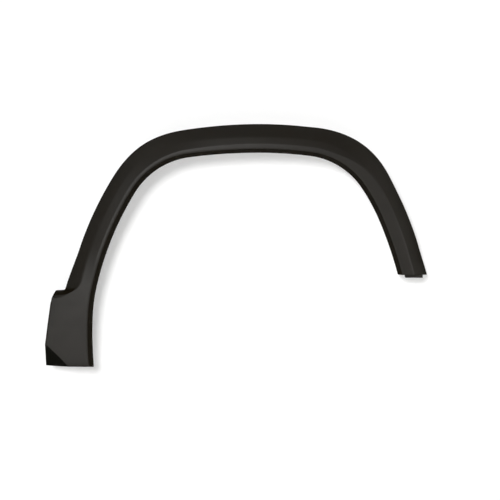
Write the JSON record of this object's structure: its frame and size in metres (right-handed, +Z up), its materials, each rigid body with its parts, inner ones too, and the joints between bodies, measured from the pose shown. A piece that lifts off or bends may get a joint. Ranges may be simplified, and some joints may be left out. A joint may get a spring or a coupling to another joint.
{
  "type": "wheel arch trim",
  "caption": "Moulded black wheel arch trim with an open back, slotted clip towers, locating pins and push-in clips; it frames a car's wheel opening.",
  "frame": {"origin": "axis of the crown locating pin where it leaves the body panel", "axes": "+X along the car towards its front, +Y inwards into the body along the locating pin, +Z up"},
  "size_m": [0.9685, 0.0774, 0.613],
  "materials": {
    "moulding": "fine moulded grain, matt black",
    "clips": "smooth natural white"
  },
  "bodies": {
    "root": {"arch_trim": "moulding", "retaining_clips": "clips"}
  },
  "joints": []
}
